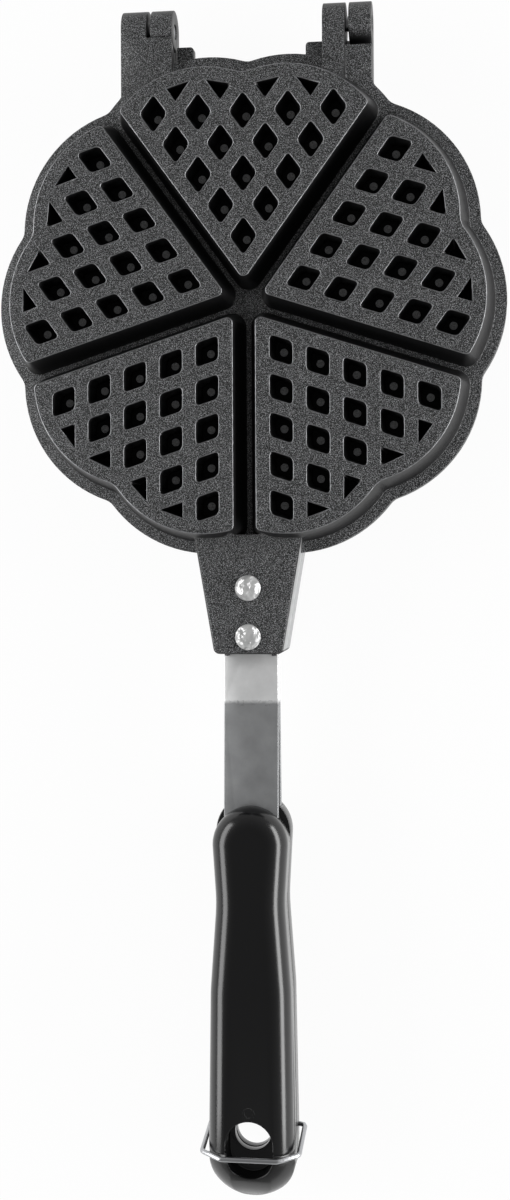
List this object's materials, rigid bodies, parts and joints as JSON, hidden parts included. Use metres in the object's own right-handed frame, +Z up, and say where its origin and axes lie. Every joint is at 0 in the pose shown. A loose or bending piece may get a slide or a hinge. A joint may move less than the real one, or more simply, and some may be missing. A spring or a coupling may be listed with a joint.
{
  "type": "stovetop waffle iron",
  "caption": "Stovetop waffle iron: hinged cast plates with heart-shaped pockets, long moulded grips on steel straps and a wire bail that latches them shut.",
  "frame": {"origin": "on the surface the iron stands on, under the middle of its whole length and width", "axes": "+Z up, +Y along the iron towards the hinge, the handle towards -Y"},
  "size_m": [0.1686, 0.3934, 0.033],
  "materials": {
    "cast_plate": "dark grey non-stick coating with fine metallic grain",
    "strap_steel": "brushed",
    "rivet_metal": "bright, hammered by the setting tool",
    "grip_plastic": "polished moulding",
    "screw_steel": "zinc plated",
    "pin_steel": "plain turned",
    "bail_wire": "bright drawn wire"
  },
  "bodies": {
    "upper": {"upper_plate": "cast_plate", "upper_strap": "strap_steel", "upper_front_rivet": "rivet_metal", "upper_rear_rivet": "rivet_metal", "upper_grip": "grip_plastic", "upper_grip_screw": "screw_steel", "upper_hinge_pin": "pin_steel"},
    "lower": {"lower_plate": "cast_plate", "lower_strap": "strap_steel", "lower_front_rivet": "rivet_metal", "lower_rear_rivet": "rivet_metal", "lower_grip": "grip_plastic", "lower_grip_screw": "screw_steel", "lower_hinge_pin": "pin_steel"},
    "bail": {"latch_bail": "bail_wire"}
  },
  "joints": [
    {"name": "lid_hinge", "type": "hinge", "parent": "lower", "child": "upper", "pos_m": [0, 0.1899, 0.0165], "axis": [-1, 0, 0], "range_deg": [0, 180]},
    {"name": "bail_swing", "type": "hinge", "parent": "lower", "child": "bail", "pos_m": [0, -0.1758, 0.0075], "axis": [1, 0, 0], "range_deg": [0, 244]}
  ]
}
